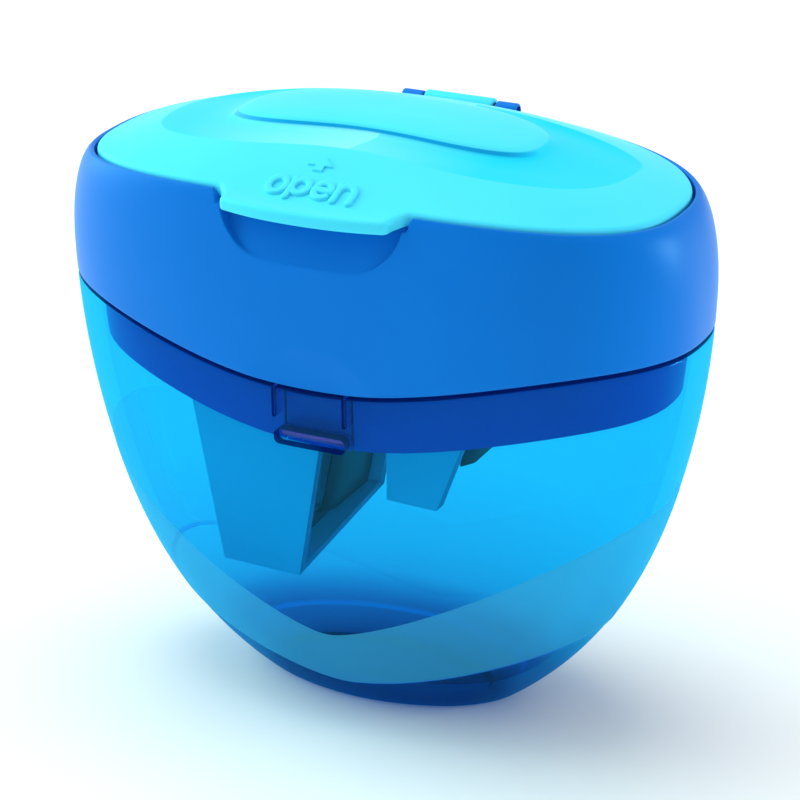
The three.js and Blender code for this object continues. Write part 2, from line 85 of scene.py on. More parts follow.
SCOOP_HALF_WIDTH = 9.15
SCOOP_BOTTOM_Z = 48.4
SCOOP_CORNER = 5.5
SCOOP_TILT = math.radians(30)
WINDOW_HALF_WIDTH = 3.67
WINDOW_Z = (30.5, 32.0)
RIM_SLIT = 0.3
RIM_SLIT_X = 3.6
RIM_SLIT_BOTTOM_Z = 33.2
DIMPLE_RADII = (16, 2.4, 11)
DIMPLE_DEPTH = 0.6
DIMPLE_Z = 33.4
HINGE_Y = (pin_low.y + pin_high.y) / 2 / MM - BODY_Y
HINGE_Z = (pin_low.z + pin_high.z) / 2 / MM
BARREL_RADIUS = 1.05
BARREL_HALF_LENGTH = 3.65
BORE_RADIUS = 0.62
EAR_RADIUS = 0.85
EAR_LENGTH = 2.2

# The foot, the floor and the rim of the container. Its front and back walls lie between
# WALL_NEAR and WALL_FAR, on either side of the middle.
CONTAINER_COLUMNS = 384
CONTAINER_SECTION = (31, 17.2, 2.25)
FOOT_SOFTENING = 0.08
FOOT_ROUND = 0.75
FOOT_ROUND_RUN = 0.7
FOOT_ROUND_RISE = 0.6
FLOOR_CURVE_Z = 6.4
FLOOR_CURVE_RUN = 1.0
RIM_ROUND = 0.3
FROST_STEP = 0.14
WINDOW_CORNER = 0.6
WALL_NEAR, WALL_FAR = 12, 22

# The housing: its seam edge, the height where its wall turns in and its inner wall.
HOUSING_SECTION = (31.8, 17.3, 2.42)
SEAM_ROUND = 0.25
TURN_Z = 46.5
TURN_SAG = 0.3
RIM_LIP = 0.12
SCOOP_BACKING_Y = -12.4
TAB_SEAT_Y = -14.7

# The lid's edge, and how far under its outer skin a point counts as underside.
LID_EDGE_ROUND = 0.45
LID_EDGE_BAND = 0.8
LID_UNDER_ROUND = 0.25
UNDERSIDE_DEPTH = 0.85

# ------------------------------------------------------------------ body surface


def smooth(edge0, edge1, value):
    """0 before edge0, 1 past edge1 and an even ease between them."""
    t = np.clip((value - edge0) / (edge1 - edge0), 0, 1)
    return t * t * (3 - 2 * t)


def section(z):
    """Half width, half depth and squareness of the outer surface at height z."""
    below = (WAIST_Z - np.minimum(z, WAIST_Z)) / WAIST_Z
    above = np.clip((z - WAIST_Z) / (RIM_Z - WAIST_Z), 0, 1)
    turn_in = 1 - np.sqrt(1 - 0.98 * above * above)
    a = BODY_HALF_WIDTH - 12.6 * below**2 - 6.0 * below**6 - SHOULDER_WIDTH * turn_in
    b = BODY_HALF_DEPTH - 3.5 * below**2 - 6.5 * below**6 - SHOULDER_DEPTH * turn_in
    return a, b, 1.9 + 0.0116 * z


def superellipse(angle, a, b, n):
    """Points of an oval of half width a, half depth b and squareness n."""
    c, s = np.cos(angle), np.sin(angle)
    return (a * np.sign(c) * np.abs(c) ** (2 / n), b * np.sign(s) * np.abs(s) ** (2 / n))


def seam_lift(x):
    """How far the seam rises from the middle towards the sides."""
    return SEAM_LIFT * 0.5 * (1 - np.cos(np.pi * np.minimum(1, np.abs(x) / BODY_HALF_WIDTH)))


def rim_sag(x):
    """How far the rim drops from the middle towards the sides."""
    return -RIM_SAG * x * x


def body_ring(angles, height, inset=0.0, sag=0.0):
    """One closed ring on the body's surface; height(x) is its height along the ring."""
    x = np.zeros_like(angles)
    for _ in range(7):
        z = height(x)
        a, b, n = section(z - sag * rim_sag(x))
        x, y = superellipse(angles, a - inset, b - inset, n)
    return np.stack([x, y, height(x)], 1)


def even_angles(count, a, b, n):
    """Angles whose points lie evenly along a superellipse."""
    fine = np.linspace(0, 2 * np.pi, 7201)
    x, y = superellipse(fine, a, b, n)
    along = np.concatenate([[0], np.cumsum(np.hypot(np.diff(x), np.diff(y)))])
    return np.interp(np.linspace(0, along[-1], count, endpoint=False), along, fine)


def add_mesh(name, points, faces, body=None, material=None, slot=None, smooth_angle=35):
    """A mesh object from millimetre points in the body's frame."""
    mesh = bpy.data.meshes.new(name)
    coords = (np.asarray(points, float) + [0, BODY_Y, 0]) * MM
    mesh.from_pydata(coords.tolist(), [], [tuple(int(i) for i in f) for f in faces])
    mesh.validate()
    obj = bpy.data.objects.new(name, mesh)
    bpy.context.scene.collection.objects.link(obj)
    finish_piece(obj, body, material, slot, smooth_angle)
    return obj


def finish_piece(obj, body, material, slot, smooth_angle=35):
    """Smooth shading, material and body; slot is not used."""
    obj.data.shade_smooth()
    if smooth_angle:
        obj.data.set_sharp_from_angle(angle=math.radians(smooth_angle))
    if material:
        obj.data.materials.clear()
        obj.data.materials.append(material)
    if body:
        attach(obj, body)


def ring_faces(rows, around, wrap=False):
    """Quads between neighbouring rings of a closed loft."""
    row = np.arange(rows if wrap else rows - 1)
    col = np.arange(around)
    r, c = np.meshgrid(row, col, indexing="ij")
    r2, c2 = (r + 1) % rows, (c + 1) % around
    quads = np.stack([r * around + c, r * around + c2, r2 * around + c2, r2 * around + c], -1)
    return quads.reshape(-1, 4).tolist()


def loft_mesh(rings, cap_start=None, cap_end=None, wrap=False):
    """Points and faces of a loft; cap_start and cap_end are axis points that close its ends."""
    around = len(rings[0])
    points = list(np.concatenate(rings))
    faces = ring_faces(len(rings), around, wrap)
    if cap_start is not None:
        points.append(cap_start)
        faces += [(len(points) - 1, (c + 1) % around, c) for c in range(around)]
    if cap_end is not None:
        points.append(cap_end)
        last = (len(rings) - 1) * around
        faces += [(len(points) - 1, last + c, last + (c + 1) % around) for c in range(around)]
    return points, faces


def box_object(name, low, high):
    """A plain box cutter in body millimetres."""
    points = [(x, y, z) for x in (low[0], high[0]) for y in (low[1], high[1]) for z in (low[2], high[2])]
    faces = [(0, 1, 3, 2), (4, 6, 7, 5), (0, 4, 5, 1), (2, 3, 7, 6), (0, 2, 6, 4), (1, 5, 7, 3)]
    return add_mesh(name, points, faces, smooth_angle=None)


def boolean(obj, cutter, operation="DIFFERENCE"):
    """Cuts obj by cutter for good and removes the cutter."""
    modifier = obj.modifiers.new("cut", "BOOLEAN")
    modifier.object = cutter
    modifier.operation = operation
    modifier.solver = "EXACT"
    depsgraph = bpy.context.evaluated_depsgraph_get()
    mesh = bpy.data.meshes.new_from_object(obj.evaluated_get(depsgraph))
    obj.modifiers.remove(modifier)
    old = obj.data
    obj.data = mesh
    mesh.name = old.name
    bpy.data.meshes.remove(old)
    bpy.data.objects.remove(cutter)


# ------------------------------------------------------------------ materials


class Shader:
    """A material and the small set of node calls that the recipes below use."""

    def __init__(self, name):
        self.material = bpy.data.materials.new(name)
        self.material.use_nodes = True
        self.tree = self.material.node_tree
        self.bsdf = self.tree.nodes["Principled BSDF"]
        texture = self.node("ShaderNodeTexCoord")
        self.coords = texture.outputs["Object"]
        self.normal = texture.outputs["Normal"]

    def node(self, kind, **settings):
        node = self.tree.nodes.new(kind)
        for key, value in settings.items():
            setattr(node, key, value)
        return node

    def link(self, source, target):
        self.tree.links.new(source, target)

    def feed(self, value, target):
        """Gives an input a number, a colour or another node's output."""
        if isinstance(value, (int, float)):
            target.default_value = value
        elif isinstance(value, tuple):
            target.default_value = (*value, 1)
        else:
            self.link(value, target)

    def set(self, **values):
        for key, value in values.items():
            self.bsdf.inputs[key.replace("_", " ")].default_value = value

    def noise(self, scale, detail=2.0, vector=None):
        node = self.node("ShaderNodeTexNoise")
        node.inputs["Scale"].default_value = scale
        node.inputs["Detail"].default_value = detail
        self.link(vector or self.coords, node.inputs["Vector"])
        return node.outputs["Fac"]

    def ramp(self, factor, stops):
        node = self.node("ShaderNodeValToRGB")
        elements = node.color_ramp.elements
        elements[0].position, elements[0].color = stops[0][0], (*stops[0][1], 1)
        elements[1].position, elements[1].color = stops[-1][0], (*stops[-1][1], 1)
        for position, colour in stops[1:-1]:
            element = elements.new(position)
            element.color = (*colour, 1)
        self.link(factor, node.inputs["Fac"])
        return node.outputs["Color"]

    def map_range(self, value, source, target=(0.0, 1.0)):
        """Carries a value from one range to another and holds it at the ends."""
        node = self.node("ShaderNodeMapRange")
        for key, end in zip(("From Min", "From Max", "To Min", "To Max"), (*source, *target)):
            node.inputs[key].default_value = end
        self.link(value, node.inputs["Value"])
        return node.outputs["Result"]

    def calculate(self, operation, *terms, clamp=False):
        node = self.node("ShaderNodeMath", operation=operation, use_clamp=clamp)
        for term, target in zip(terms, node.inputs):
            self.feed(term, target)
        return node.outputs[0]

    def part(self, vector, axis):
        """One coordinate of a vector output."""
        node = self.node("ShaderNodeSeparateXYZ")
        self.link(vector, node.inputs[0])
        return node.outputs[axis]

    def along(self, direction):
        """How far a point lies along a direction."""
        node = self.node("ShaderNodeVectorMath", operation="DOT_PRODUCT")
        self.link(self.coords, node.inputs[0])
        node.inputs[1].default_value = direction
        return node.outputs["Value"]

    def mixed(self, factor, first, second):
        node = self.node("ShaderNodeMix", data_type="RGBA")
        self.link(factor, node.inputs["Factor"])
        self.feed(first, node.inputs[6])
        self.feed(second, node.inputs[7])
        return node.outputs[2]

    def blend(self, share, first, second, name=""):
        """A mix of two shader nodes."""
        node = self.node("ShaderNodeMixShader")
        if name:
            node.name = name
        self.feed(share, node.inputs["Fac"])
        self.link(first.outputs[0], node.inputs[1])
        self.link(second.outputs[0], node.inputs[2])
        return node

    def bump(self, height, strength, distance):
        node = self.node("ShaderNodeBump")
        node.inputs["Strength"].default_value = strength
        node.inputs["Distance"].default_value = distance
        self.link(height, node.inputs["Height"])
        self.link(node.outputs["Normal"], self.bsdf.inputs["Normal"])

    def base_colour(self):
        """What feeds the base colour so far."""
        return self.bsdf.inputs["Base Color"].links[0].from_socket


PLASTIC_GRAIN = 0.03
PLASTIC_SHEEN = (0.2, 0.85, 1.0, 1)


def moulded_plastic(name, base, roughness):
    """Opaque moulded plastic: faint tone drift, fine spark-eroded grain and uneven gloss."""
    shader = Shader(name)
    low = tuple(c * 0.95 for c in base)
    high = tuple(min(1, c * 1.03) for c in base)
    drift = shader.ramp(shader.noise(scale=60, detail=3), [(0.3, low), (0.7, high)])
    shader.link(drift, shader.bsdf.inputs["Base Color"])
    gloss = shader.map_range(shader.noise(scale=140, detail=4), (0, 1), (roughness * 0.9, roughness * 1.12))
    shader.link(gloss, shader.bsdf.inputs["Roughness"])
    shader.bump(shader.noise(scale=2600), PLASTIC_GRAIN, 0.04 * MM)
    shader.set(IOR=1.5, Specular_IOR_Level=0.16, Specular_Tint=PLASTIC_SHEEN)
    return shader


DECK_Z = 42.5
SHARPENER_COLOUR = (0.14, 0.69, 0.85)
# Painted shade: a near-black for the blade's recess and a dark blue for the side faces under the deck.
RECESS_PAINTED_SHADE = (0.035, 0.030, 0.042)
SIDE_PAINTED_SHADE = (0.14, 0.25, 0.38)


def plastic_with_painted_shade(name, direction, recess_until):
    """Sharpener block plastic with painted shade: dark on the side faces under the deck and darker in the
    blade's recess.
    """
    shader = moulded_plastic(name, SHARPENER_COLOUR, roughness=0.45)
    # Where the shade is painted: faces turned to the right below the deck, darkest inside the blade's
    # recess.
    faces_side = shader.calculate("GREATER_THAN", shader.part(shader.normal, "X"), 0.4)
    below_deck = shader.calculate("LESS_THAN", shader.part(shader.coords, "Z"), DECK_Z * MM)
    painted_shade_mask = shader.calculate("MULTIPLY", faces_side, below_deck)
    past_recess = shader.map_range(
        shader.along(direction), (recess_until * MM, (recess_until + 0.1) * MM))
    painted_side_shade = shader.ramp(past_recess, [(0.0, RECESS_PAINTED_SHADE), (1.0, SIDE_PAINTED_SHADE)])
    with_painted_shade = shader.mixed(painted_shade_mask, shader.base_colour(), painted_side_shade)
    shader.link(with_painted_shade, shader.bsdf.inputs["Base Color"])
    return shader


LID_COLOUR = (0.068, 0.71, 0.93)
DISH_COLOUR = (0.008, 0.64, 0.9)
# Painted sheen: the pale colour the dish catches either side of the crease.
DISH_PAINTED_SHEEN = (0.24, 0.82, 0.95)
# Painted shadow: the dark line that the island's front step casts.
ISLAND_PAINTED_SHADOW = (0.004, 0.34, 0.68)
# The line across the dish where the painted sheen changes side.
CREASE_DIRECTION = (1, -0.27, 0)
CREASE_AT = 2.25


def dished_lid(name):
    """Lid plastic: a deeper dish with a painted sheen, pale either side of a crease, and a painted shadow
    line round the island's front.
    """
    shader = moulded_plastic(name, LID_COLOUR, roughness=0.36)

    def reach_in(attribute, source, target=(0.0, 1.0)):
        socket = shader.node("ShaderNodeAttribute", attribute_name=attribute).outputs["Fac"]
        return shader.map_range(socket, source, target)

    # Painted sheen across the dish: rising from the left up to the crease, then starting at half and fading
    # to the right.
    x = shader.along((1, 0, 0))
    left = shader.map_range(x, (-19 * MM, 1 * MM))
    right = shader.map_range(x, (13 * MM, 0.0), (0.0, 0.5))
    crease = shader.map_range(
        shader.along(CREASE_DIRECTION), ((CREASE_AT - 0.06) * MM, (CREASE_AT + 0.06) * MM))
    painted_sheen = shader.node("ShaderNodeMix", data_type="FLOAT")
    shader.link(crease, painted_sheen.inputs["Factor"])
    shader.link(left, painted_sheen.inputs[2])
    shader.link(right, painted_sheen.inputs[3])
    tone = shader.mixed(painted_sheen.outputs[0], DISH_COLOUR, DISH_PAINTED_SHEEN)
    in_crescent = reach_in("crescent", (0.996, 1.004), (1, 0))
    in_island = reach_in("island", (0.994, 1.006), (1, 0))
    in_dish = shader.calculate("SUBTRACT", in_crescent, in_island, clamp=True)
    dished = shader.mixed(in_dish, shader.base_colour(), tone)
    # Painted shadow line along the island's front edge.
    edge_starts = reach_in("island", (0.992, 1.0))
    edge_ends = reach_in("island", (1.022, 1.034), (1, 0))
    edge = shader.calculate("MULTIPLY", edge_starts, edge_ends, clamp=True)
    front = shader.map_range(shader.along((0, 1, 0)), (0.5 * MM, -2.5 * MM))
    shadow_lined = shader.mixed(shader.calculate("MULTIPLY", edge, front, clamp=True), dished, ISLAND_PAINTED_SHADOW)
    shader.link(shadow_lined, shader.bsdf.inputs["Base Color"])
    return shader


TINT_HEIGHT = 30.0
SKIN_COLOUR = (0.15, 0.75, 1.0)


def clear_plastic(name, tints, body, body_share, roughness, gloss=1.0):
    """Thin clear moulding: tinted straight through, deeper towards the thick base and, as painted shade,
    deeper down the wall towards the floor, glossy skin.

    tints lists heights in millimetres with the tint of light that passes there.
    """
    shader = Shader(name)
    shader.tree.nodes.remove(shader.bsdf)
    rise = shader.map_range(shader.part(shader.coords, "Z"), (0.0, TINT_HEIGHT * MM))
    stops = [(height / TINT_HEIGHT, tint) for height, tint in tints]
    through = shader.node("ShaderNodeBsdfTransparent")
    shader.link(shader.ramp(rise, stops), through.inputs["Color"])
    drift = shader.ramp(shader.noise(scale=50), [(0.3, tuple(c * 0.92 for c in body)), (0.7, body)])
    depth = shader.node("ShaderNodeBsdfDiffuse")
    shader.link(drift, depth.inputs["Color"])
    glow = shader.node("ShaderNodeBsdfTranslucent")
    shader.link(drift, glow.inputs["Color"])
    scatter = shader.blend(0.5, depth, glow)
    mass = shader.blend(body_share, through, scatter, name="body_mix")
    skin = shader.node("ShaderNodeBsdfGlossy")
    shader.feed(SKIN_COLOUR, skin.inputs["Color"])
    uneven = shader.map_range(shader.noise(scale=90), (0, 1), (roughness * 0.7, roughness * 1.3))
    shader.link(uneven, skin.inputs["Roughness"])
    facing = shader.node("ShaderNodeLayerWeight")
    facing.inputs["Blend"].default_value = 0.5
    grazing = shader.calculate("POWER", facing.outputs["Facing"], 4.0)
    strength = shader.calculate("MULTIPLY_ADD", grazing, 0.35 * gloss, 0.02 * gloss)
    whole = shader.blend(strength, mass, skin)
    shader.link(whole.outputs[0], shader.tree.nodes["Material Output"].inputs["Surface"])
    return shader


def painted_shade_rind(shader):
    """Limits the painted shade of a cut edge to the wall's outer skin; the rest stays clear."""
    from_middle = shader.calculate("SUBTRACT", shader.part(shader.coords, "Y"), BODY_Y * MM)
    out = shader.calculate("ABSOLUTE", from_middle)
    skin_starts = shader.map_range(
        shader.part(shader.coords, "Z"), (32.2 * MM, 33.0 * MM), (15.9 * MM, 16.75 * MM))
    in_skin = shader.calculate("GREATER_THAN", out, skin_starts)
    body_share = shader.tree.nodes["body_mix"].inputs["Fac"]
    shader.link(shader.calculate("MULTIPLY", in_skin, body_share.default_value), body_share)
    return shader


def fading_backwards(shader):
    """Makes a frosted skin strong on the front of the container and faint on its back."""
    body_share = shader.tree.nodes["body_mix"].inputs["Fac"]
    strong = body_share.default_value
    faded = shader.map_range(
        shader.part(shader.coords, "Y"), (-8 * MM, 10 * MM), (strong, 0.12 * strong))
    shader.link(faded, body_share)
    return shader


def steel(name, base, roughness, scale):
    """Ground steel: fine straight grinding marks along the piece."""
    shader = Shader(name)
    mapping = shader.node("ShaderNodeMapping")
    mapping.inputs["Scale"].default_value = scale
    shader.link(shader.coords, mapping.inputs["Vector"])
    marks = shader.noise(scale=900, detail=4, vector=mapping.outputs["Vector"])
    tone = shader.ramp(marks, [(0.3, tuple(c * 0.8 for c in base)), (0.7, base)])
    shader.link(tone, shader.bsdf.inputs["Base Color"])
    worn = shader.map_range(marks, (0, 1), (roughness * 0.7, roughness * 1.4))
    shader.link(worn, shader.bsdf.inputs["Roughness"])
    shader.bump(marks, 0.15, 0.03 * MM)
    shader.set(Metallic=1.0)
    return shader


LID_PLASTIC = dished_lid("lid_plastic").material
HOUSING_PLASTIC = moulded_plastic("housing_plastic", (0.0035, 0.168, 0.65), 0.36).material
FRAME_PLASTIC = moulded_plastic("frame_plastic", (0.085, 0.085, 0.46), 0.3).material
# The sharpener plastics carry painted shade on their side faces and in the blade recesses.
SHARPENER_PLASTIC = {
    "large": plastic_with_painted_shade("large_sharpener_plastic", (1, 0, -0.1656), -8.35).material,
    "small": plastic_with_painted_shade("small_sharpener_plastic", (1, 0, -0.3667), -0.5).material,
}
# Near-black steel for the blades: partly the blades' own dark steel, partly painted shade for the recesses
# they sit in.
BLADE_STEEL = steel("blade_steel", (0.05, 0.035, 0.036), 0.35, (1, 1, 0.06)).material
FASTENER_STEEL = steel("fastener_steel", (0.35, 0.36, 0.38), 0.25, (1, 1, 1)).material

CLEAR_BODY = (0.01, 0.42, 0.85)
FROST_BODY = (0.09, 0.58, 0.86)
WAVE_EDGE_BODY = (0.01, 0.16, 0.80)
# Painted shade: a near-black navy on the container's rim top, for the shade in the seam under the housing,
# and on the cut faces of the windows and slits.
EDGE_PAINTED_SHADE = (0.002, 0.02, 0.16)
# Heights in millimetres and the tint that the wall gives there: deepest in the thick base, and deepening
# down the whole wall as painted shade near the floor.
WALL_TINTS_AND_SHADE = [(2.4, (0.12, 0.40, 0.69)), (6.6, (0.09, 0.52, 0.76)), (16.5, (0.09, 0.685, 0.93))]
# The inner skin: a violet floor, a painted highlight as a bright blue line round it, then nearly clear.
INNER_TINTS_AND_HIGHLIGHT = [
    (2.604, (0.55, 0.38, 0.62)),
    (2.64, (0.25, 0.62, 1.0)),
    (2.82, (0.25, 0.62, 1.0)),
    (3.0, (0.45, 0.45, 0.68)),
    (5.7, (0.95, 0.98, 1.0)),
]
CONTAINER_MATERIALS = [
    clear_plastic("container_plastic", WALL_TINTS_AND_SHADE, CLEAR_BODY, 0.03, 0.06).material,
    fading_backwards(clear_plastic("container_frost", WALL_TINTS_AND_SHADE, FROST_BODY, 0.55, 0.45)).material,
    fading_backwards(clear_plastic("container_wave_edge", WALL_TINTS_AND_SHADE, WAVE_EDGE_BODY, 0.8, 0.3)).material,
    clear_plastic("container_inside", INNER_TINTS_AND_HIGHLIGHT, CLEAR_BODY, 0.01, 0.08, 0.4).material,
    clear_plastic("container_rim_shade", WALL_TINTS_AND_SHADE, EDGE_PAINTED_SHADE, 0.93, 0.2).material,
    painted_shade_rind(clear_plastic("container_cut_shade", WALL_TINTS_AND_SHADE, EDGE_PAINTED_SHADE, 0.93, 0.2)).material,
]
CLEAR, FROST, WAVE_EDGE, INSIDE, RIM_SHADE, CUT_SHADE = range(6)

# ------------------------------------------------------------------ shavings container


def wave_low(x):
    """Lower edge of the frosted wave."""
    return 3.4 + 5.6 * (np.sqrt((x / 20) ** 2 + 0.004) ** 1.34)


def wave_high(x):
    """Upper edge of the frosted wave."""
    return 9.6 + 9.2 * (np.sqrt((x / 20) ** 2 + 0.004) ** 1.2)


def container_rim(x):
    """The container's top edge, half a gap under the seam."""
    return SEAM_Z - GAP / 2 + seam_lift(x)


def between(low, high, t):
    """A height curve the share t of the way from one curve to another."""
    return lambda x: low(x) * (1 - t) + high(x) * t


def level(z):
    return lambda x: np.full_like(np.asarray(x, float), z)


def raised(curve, up):
    return lambda x: curve(x) + up


def build_container():
    """The clear cup: foot, wave-banded outer wall, round rim, inner wall and floor."""
    angles = even_angles(CONTAINER_COLUMNS, *CONTAINER_SECTION)
    ring = lambda height, inset=0.0: body_ring(angles, height, inset)
    rings = [
        ring(level(FOOT_RECESS), FOOT_RIM + 0.3),
        ring(level(0.12), FOOT_RIM + FOOT_SOFTENING),
        ring(level(0.0), FOOT_RIM - FOOT_SOFTENING),
        ring(level(0.0), FOOT_ROUND),
    ]
    for turn in np.linspace(0.15, 0.9, 5):
        angle = turn * np.pi / 2
        height = level(FOOT_ROUND_RISE * (1 - np.cos(angle)))
        rings.append(ring(height, FOOT_ROUND - FOOT_ROUND_RUN * np.sin(angle)))
    foot_top = level(FOOT_ROUND)
    low_under = raised(wave_low, -0.1)
    low_over = raised(wave_low, 0.1)
    high_under = raised(wave_high, -0.12)
    high_over = raised(wave_high, 0.12)
    for t in np.linspace(0, 1, 14):
        rings.append(ring(between(foot_top, low_under, t), 0.05 * (1 - t)))
    frost_from = len(rings) - 1
    for t in (0.5, 1.0):
        rings.append(ring(between(low_under, low_over, t), -FROST_STEP * t))
    for t in np.linspace(0, 1, 18)[1:]:
        rings.append(ring(between(low_over, high_under, t), -FROST_STEP * (1 - 0.7 * t)))
    rings.append(ring(high_over, 0.0))
    frost_to = len(rings) - 1
    rim_edge = raised(container_rim, -RIM_ROUND)
    for t in np.linspace(0, 1, 34)[1:]:
        rings.append(ring(between(high_over, rim_edge, t)))
    rim_from = len(rings) - 1
    for turn in np.linspace(0.2, 1, 4):
        angle = turn * np.pi / 2
        lift = RIM_ROUND * np.sin(angle) - RIM_ROUND
        rings.append(ring(raised(container_rim, lift), RIM_ROUND * (1 - np.cos(angle))))
    for turn in np.linspace(1, 0.2, 4):
        angle = turn * np.pi / 2
        lift = RIM_ROUND * np.sin(angle) - RIM_ROUND
        rings.append(ring(raised(container_rim, lift), WALL - RIM_ROUND * (1 - np.cos(angle))))
    inner_from = len(rings)
    inner_low = level(FLOOR_CURVE_Z)
    for t in np.linspace(1, 0, 44):
        rings.append(ring(between(inner_low, rim_edge, t), WALL))
    for turn in np.linspace(0.1, 1, 9):
        angle = turn * np.pi / 2
        drop = (FLOOR_CURVE_Z - FLOOR_Z) * np.sin(angle)
        rings.append(ring(level(FLOOR_CURVE_Z - drop), WALL + FLOOR_CURVE_RUN * (1 - np.cos(angle))))
    points, faces = loft_mesh(rings, (0, 0, FOOT_RECESS), (0, 0, FLOOR_Z))
    container = add_mesh("container_shell", points, faces)
    for material in CONTAINER_MATERIALS:
        container.data.materials.append(material)
    around = len(angles)
    last = (len(rings) - 1) * around
    floor_middle = (FLOOR_Z + FOOT_RECESS) / 2 * MM
    for polygon in container.data.polygons:
        loop = polygon.index // around
        if polygon.index >= last:
            polygon.material_index = INSIDE if polygon.center.z > floor_middle else CLEAR
        elif loop >= inner_from - 1:
            polygon.material_index = INSIDE
        elif loop >= rim_from:
            # The top of the rim gets the painted shade of the seam.
            polygon.material_index = RIM_SHADE if rim_from + 2 <= loop < rim_from + 5 else CLEAR
        elif frost_from <= loop < frost_to:
            polygon.material_index = WAVE_EDGE if loop < frost_from + 2 else FROST
    for side in (-1, 1):
        boolean(container, window_cutter(side))
        x = side * RIM_SLIT_X
        low = (x - RIM_SLIT / 2, -25, RIM_SLIT_BOTTOM_Z)
        high = (x + RIM_SLIT / 2, 25, SEAM_Z + 2)
        boolean(container, box_object("slit", low, high))
    mark_cut_edges(container)
    finish_piece(container, "container", None, "container_plastic", 40)
    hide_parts("shavings_container")
    return container


def mark_cut_edges(container):
    """Gives the faces inside the latch windows and rim slits the dark edge material, which paints shade in
    the openings.
    """
    slack = 0.05
    for polygon in container.data.polygons:
        x, y, z = polygon.center / MM
        in_window = abs(x) < WINDOW_HALF_WIDTH + slack and WINDOW_Z[0] - slack < z < WINDOW_Z[1] + slack
        in_slit = abs(abs(x) - RIM_SLIT_X) < RIM_SLIT / 2 + slack and z > RIM_SLIT_BOTTOM_Z - slack
        in_wall = abs(y) > WALL_NEAR - 2
        if in_wall and (in_window or in_slit) and abs(polygon.normal.y) < 0.5:
            polygon.material_index = CUT_SHADE


def window_cutter(side):
    """A rounded slot through one wall of the container."""
    low, high = WINDOW_Z
    radius = WINDOW_CORNER
    outline = []
    for turn, (cx, cz) in enumerate(((1, 0), (1, 1), (-1, 1), (-1, 0))):
        x0 = cx * (WINDOW_HALF_WIDTH - radius)
        z0 = high - radius if cz else low + radius
        for angle in np.linspace(-90 + 90 * turn, 90 * turn, 7):
            rad = math.radians(angle)
            outline.append((x0 + radius * math.cos(rad), z0 + radius * math.sin(rad)))
    count = len(outline)
    near, far = sorted((side * WALL_NEAR, side * WALL_FAR))
    points = [(x, near, z) for x, z in outline] + [(x, far, z) for x, z in outline]
    faces = [(i, (i + 1) % count, count + (i + 1) % count, count + i) for i in range(count)]
    faces += [tuple(range(count))[::-1], tuple(range(count, 2 * count))]
    cutter = add_mesh("window_cutter", points, faces, smooth_angle=None)
    consistent_normals(cutter)
    return cutter


# ------------------------------------------------------------------ housing


def dimple(ring):
    """Depth of the shallow thumb dimple above the latch: an ellipsoid dipped into the front."""
    radius_x, radius_y, radius_z = DIMPLE_RADII
    inside = 1 - (ring[:, 0] / radius_x) ** 2 - ((ring[:, 2] - DIMPLE_Z) / radius_z) ** 2
    cut_y = -BODY_HALF_DEPTH - radius_y + DIMPLE_DEPTH + radius_y * np.sqrt(np.maximum(inside, 0))
    depth = np.where((inside > 0) & (ring[:, 1] < 0), cut_y - ring[:, 1], 0)
    return 0.5 * (depth + np.sqrt(depth * depth + 0.002)) * (inside > 0)


def scoop_mask(x, height):
    """1 inside the finger scoop's outline, 0 outside; height runs up its sloping back."""
    qx = np.abs(x) - (SCOOP_HALF_WIDTH - SCOOP_CORNER)
    qh = SCOOP_CORNER - height
    outside = np.hypot(np.maximum(qx, 0), np.maximum(qh, 0)) + np.minimum(np.maximum(qx, qh), 0)
    return smooth(0.16, -0.16, outside - SCOOP_CORNER)


def housing_angles():
    """Columns round the housing, close together where the scoop's edges run."""
    front = np.concatenate([np.linspace(-13, 13, 174), [-14.5, -16, 14.5, 16]])
    back = np.linspace(-13, 13, 53)
    half_width, _, squareness = HOUSING_SECTION
    angles = []
    for x in np.sort(front):
        cosine = np.sign(x) * (abs(x) / half_width) ** (squareness / 2)
        angles.append(-math.acos(cosine))
    for x in back:
        cosine = np.sign(x) * (abs(x) / half_width) ** (squareness / 2)
        angles.append(math.acos(cosine))
    sides = even_angles(240, *HOUSING_SECTION)
    x, _ = superellipse(sides, *HOUSING_SECTION)
    keep = [a - 2 * np.pi * (a > np.pi) for a, px, s in zip(sides, x, np.sin(sides))
            if (s <= 0 and abs(px) > 16.3) or (s > 0 and abs(px) > 13.3)]
    return np.sort(np.unique(np.round(np.concatenate([angles, keep]), 6)))


def scooped(ring):
    """Presses a ring of the housing in where the finger scoop is."""
    x, y, z = ring[:, 0], ring[:, 1], ring[:, 2]
    _, back_y, _ = section(SCOOP_BOTTOM_Z)
    y0 = -back_y + 0.05
    out = -np.cos(SCOOP_TILT) * (y - y0) + np.sin(SCOOP_TILT) * (z - SCOOP_BOTTOM_Z)
    height = np.cos(SCOOP_TILT) * (z - SCOOP_BOTTOM_Z) + np.sin(SCOOP_TILT) * (y - y0)
    mask = scoop_mask(x, height) * (y < 0)
    depth = 0.5 * (out + np.sqrt(out * out + 0.004)) * mask
    pressed = ring.copy()
    pressed[:, 1] += depth * np.cos(SCOOP_TILT)
    pressed[:, 2] -= depth * np.sin(SCOOP_TILT)
    return pressed


def lip_ring(angles, step, z, sag=1.0):
    """A ring of the opening that the lid sits in."""
    a = LID_HALF_WIDTH + GAP - step
    b = LID_HALF_DEPTH + GAP - step
    x, y = superellipse(angles, a, b, LID_SQUARENESS)
    return np.stack([x, y, z + sag * rim_sag(x)], 1)


